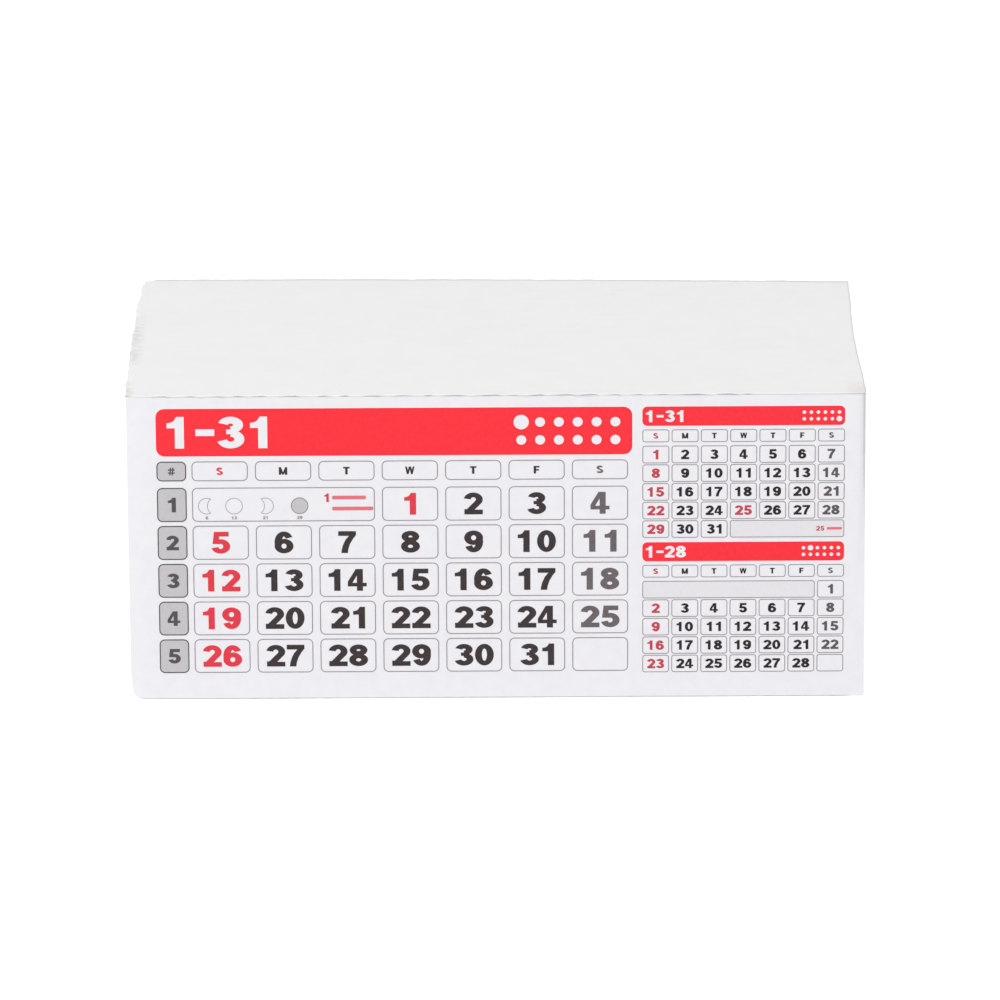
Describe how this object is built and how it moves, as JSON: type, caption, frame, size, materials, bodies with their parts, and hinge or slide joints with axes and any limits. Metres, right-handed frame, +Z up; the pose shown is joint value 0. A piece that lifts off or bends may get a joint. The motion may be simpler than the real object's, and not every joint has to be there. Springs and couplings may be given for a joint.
{
  "type": "tear-off wall calendar",
  "caption": "Thick block of small printed calendar leaves, glued along the top edge and torn off from the front.",
  "frame": {"origin": "centre of the bottom face, under the middle of the block's width and depth", "axes": "+Z up along the leaves' height, +X to the right of the printed page, and the printed page faces -Y"},
  "size_m": [0.1905, 0.1002, 0.083],
  "materials": {
    "page_edges": "matt cut edges of a thick stack of leaves",
    "paper": "smooth uncoated white",
    "padding_glue": "brushed white padding glue with a faint sheen",
    "red_ink": "flat red offset ink",
    "black_ink": "flat black offset ink",
    "dark_grey_ink": "flat dark grey offset ink",
    "light_grey_ink": "flat light grey offset ink"
  },
  "bodies": {
    "root": {"page_stack": "page_edges", "front_leaf": "paper", "padding_glue": "padding_glue", "banner_this_month": "red_ink", "banner_previous_month": "red_ink", "banner_next_month": "red_ink", "week_tab_heading": "light_grey_ink", "week_tab_1": "light_grey_ink", "week_tab_2": "light_grey_ink", "week_tab_3": "light_grey_ink", "week_tab_4": "light_grey_ink", "week_tab_5": "light_grey_ink", "moon_waxing": "dark_grey_ink", "moon_full": "dark_grey_ink", "moon_waning": "dark_grey_ink", "moon_new": "dark_grey_ink", "day_1": "red_ink", "day_2": "black_ink", "day_3": "black_ink", "day_4": "dark_grey_ink", "day_5": "red_ink", "day_6": "black_ink", "day_7": "black_ink", "day_8": "black_ink", "day_9": "black_ink", "day_10": "black_ink", "day_11": "dark_grey_ink", "day_12": "red_ink", "day_13": "black_ink", "day_14": "black_ink", "day_15": "black_ink", "day_16": "black_ink", "day_17": "black_ink", "day_18": "dark_grey_ink", "day_19": "red_ink", "day_20": "black_ink", "day_21": "black_ink", "day_22": "black_ink", "day_23": "black_ink", "day_24": "black_ink", "day_25": "dark_grey_ink", "day_26": "red_ink", "day_27": "black_ink", "day_28": "black_ink", "day_29": "black_ink", "day_30": "black_ink", "day_31": "black_ink"}
  },
  "joints": []
}
